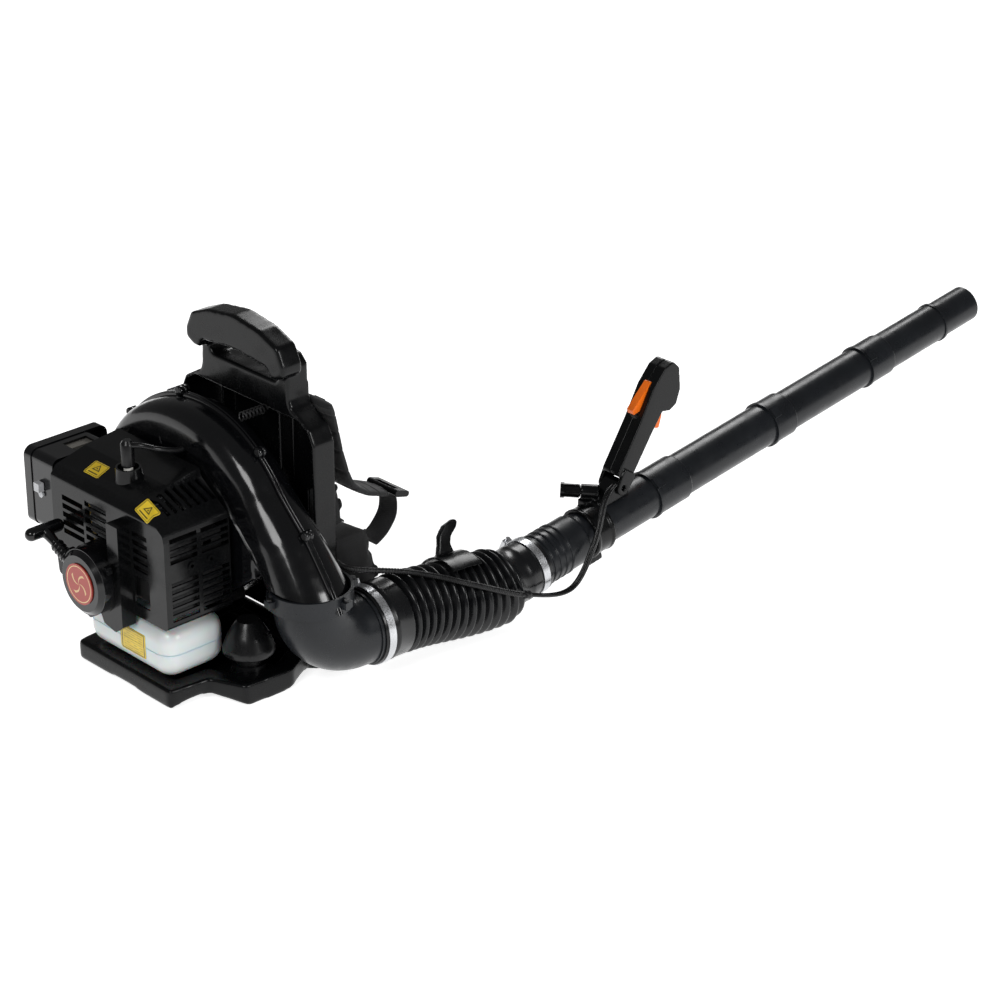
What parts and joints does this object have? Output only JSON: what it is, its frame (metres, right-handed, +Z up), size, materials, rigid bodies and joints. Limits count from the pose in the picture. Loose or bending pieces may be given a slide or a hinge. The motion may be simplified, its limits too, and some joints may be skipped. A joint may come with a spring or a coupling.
{
  "type": "backpack leaf blower",
  "caption": "Backpack blower: carrying frame with padded harness, recoil-start two-stroke engine, volute fan, bellows hose and jointed blow tube with a throttle grip.",
  "frame": {"origin": "on the ground, at the middle of the back frame's width, in the plane of the plate's front face", "axes": "+Z up, +Y the way the wearer faces (the blow tube points along it), +X the wearer's right"},
  "size_m": [0.5281, 1.6105, 0.5039],
  "materials": {
    "frame_black": "satin moulded polymer",
    "cover_black": "fine grain",
    "case_black": "polished moulding",
    "tube_grey": "dark grey satin",
    "hose_black": "flexible, semi-gloss",
    "rubber_black": "soft matt",
    "pad_fabric": "foam pad covered in woven cloth",
    "web_fabric": "woven webbing",
    "zinc_steel": "zinc plated",
    "dark_steel": "heat-proof dark paint",
    "cast_alloy": "die cast",
    "impeller_black": "moulded",
    "ceramic_white": "glazed ceramic",
    "orange_plastic": "bright moulding",
    "badge_red": "printed disc",
    "tank_white": "translucent white polymer",
    "lever_grey": "pale moulding",
    "filter_foam": "open-cell foam",
    "primer_red": "clear red bulb",
    "line_amber": "clear amber hose",
    "label_yellow": "printed film"
  },
  "bodies": {
    "frame": {"back_frame": "frame_black", "base_foot": "frame_black", "frame_bolts": "zinc_steel", "back_pad": "pad_fabric", "lumbar_pad": "pad_fabric", "shoulder_strap_right": "pad_fabric", "shoulder_strap_left": "pad_fabric", "webbing_right": "web_fabric", "webbing_left": "web_fabric", "strap_buckles": "frame_black", "isolation_springs": "dark_steel", "mount_cups": "rubber_black", "mount_pedestals": "rubber_black", "fan_case_rear": "case_black", "fan_case_front": "case_black", "case_screws": "dark_steel", "intake_guard": "frame_black", "crankcase": "cast_alloy", "ignition_coil": "case_black", "engine_cylinder": "cast_alloy", "spark_plug": "ceramic_white", "plug_boot": "rubber_black", "muffler": "dark_steel", "engine_cover": "cover_black", "starter_housing": "case_black", "starter_badge": "badge_red", "recoil_spring": "zinc_steel", "carburettor": "cast_alloy", "air_filter_base": "case_black", "air_filter_element": "filter_foam", "air_filter_cover": "case_black", "fuel_tank": "tank_white", "fuel_lines": "line_amber", "labels": "label_yellow", "elbow": "tube_grey", "elbow_screws": "dark_steel", "near_clamp": "zinc_steel"},
    "rotor": {"crankshaft": "zinc_steel", "flywheel": "cast_alloy", "impeller": "impeller_black"},
    "piston": {"piston": "cast_alloy"},
    "starter_grip": {"starter_grip": "case_black"},
    "starter_reel": {"starter_reel": "frame_black"},
    "choke": {"choke_lever": "lever_grey"},
    "primer": {"primer_bulb": "primer_red"},
    "cap": {"fuel_cap": "frame_black"},
    "hose": {"bellows_hose": "hose_black", "hose_hook": "frame_black", "throttle_cable": "rubber_black"},
    "tube": {"control_tube": "tube_grey", "far_clamp": "zinc_steel", "handle_clamp": "frame_black"},
    "knob": {"handle_knob": "frame_black"},
    "handle": {"grip_shell_left": "frame_black", "grip_shell_right": "frame_black"},
    "trigger": {"throttle_trigger": "orange_plastic"},
    "lock": {"lock_lever": "orange_plastic"},
    "middle": {"middle_tube": "tube_grey"},
    "extension": {"extension_tube": "tube_grey"},
    "nozzle": {"nozzle_tube": "tube_grey"}
  },
  "joints": [
    {"name": "crank_spin", "type": "hinge", "parent": "frame", "child": "rotor", "pos_m": [-0.05, -0.205, 0.16], "axis": [0, 1, 0], "continuous": true},
    {"name": "piston_stroke", "type": "slide", "parent": "frame", "child": "piston", "axis": [0, 0, -1], "range_m": [0, 0.032]},
    {"name": "starter_pull", "type": "slide", "parent": "frame", "child": "starter_grip", "axis": [-0.9063, 0, 0.4226], "range_m": [0, 0.75]},
    {"name": "reel_spin", "type": "hinge", "parent": "frame", "child": "starter_reel", "pos_m": [-0.05, -0.285, 0.16], "axis": [0, 1, 0], "range_deg": [0, 1290]},
    {"name": "choke_turn", "type": "hinge", "parent": "frame", "child": "choke", "pos_m": [-0.212, -0.2385, 0.222], "axis": [0, 1, 0], "range_deg": [0, 65]},
    {"name": "primer_press", "type": "slide", "parent": "frame", "child": "primer", "axis": [0, 1, 0], "range_m": [0, 0.004], "stiffness_N_per_m": 600},
    {"name": "cap_turn", "type": "hinge", "parent": "frame", "child": "cap", "pos_m": [-0.112, -0.214, 0.078], "axis": [1, 0, 0], "range_deg": [-90, 0]},
    {"name": "hose_pitch", "type": "hinge", "parent": "frame", "child": "hose", "pos_m": [0.19915, 0.12597, 0.07399], "axis": [1, 0, 0], "range_deg": [-10, 35], "deforming": ["bellows_hose", "throttle_cable"]},
    {"name": "hose_yaw", "type": "hinge", "parent": "hose", "child": "tube", "pos_m": [0.20508, 0.18435, 0.07141], "axis": [0, 0, 1], "range_deg": [-35, 35], "deforming": ["bellows_hose", "throttle_cable"]},
    {"name": "knob_turn", "type": "hinge", "parent": "tube", "child": "knob", "pos_m": [0.206, 0.452, 0.143], "axis": [-0.7062, -0.7062, 0.0504], "continuous": true},
    {"name": "handle_tilt", "type": "hinge", "parent": "tube", "child": "handle", "pos_m": [0.212, 0.478, 0.15], "axis": [1, 0, 0], "range_deg": [-25, 25]},
    {"name": "trigger_squeeze", "type": "hinge", "parent": "handle", "child": "trigger", "pos_m": [0.212, 0.56315, 0.25299], "axis": [1, 0, 0], "range_deg": [-14, 0], "stiffness_Nm_per_rad": 0.3},
    {"name": "lock_squeeze", "type": "hinge", "parent": "handle", "child": "lock", "pos_m": [0.212, 0.54975, 0.28857], "axis": [1, 0, 0], "range_deg": [0, 10], "stiffness_Nm_per_rad": 0.3},
    {"name": "middle_twist", "type": "hinge", "parent": "tube", "child": "middle", "pos_m": [0.212, 0.57734, 0.11348], "axis": [0, 0.9905, 0.1374], "range_deg": [0, 25]},
    {"name": "extension_twist", "type": "hinge", "parent": "middle", "child": "extension", "pos_m": [0.212, 0.82497, 0.14785], "axis": [0, 0.9905, 0.1374], "range_deg": [0, 25]},
    {"name": "nozzle_twist", "type": "hinge", "parent": "extension", "child": "nozzle", "pos_m": [0.212, 1.05279, 0.17946], "axis": [0, 0.9905, 0.1374], "range_deg": [0, 25]}
  ],
  "couplings": [
    {"joint": "reel_spin", "follows": "starter_pull", "rad_per_m": 29.412}
  ]
}
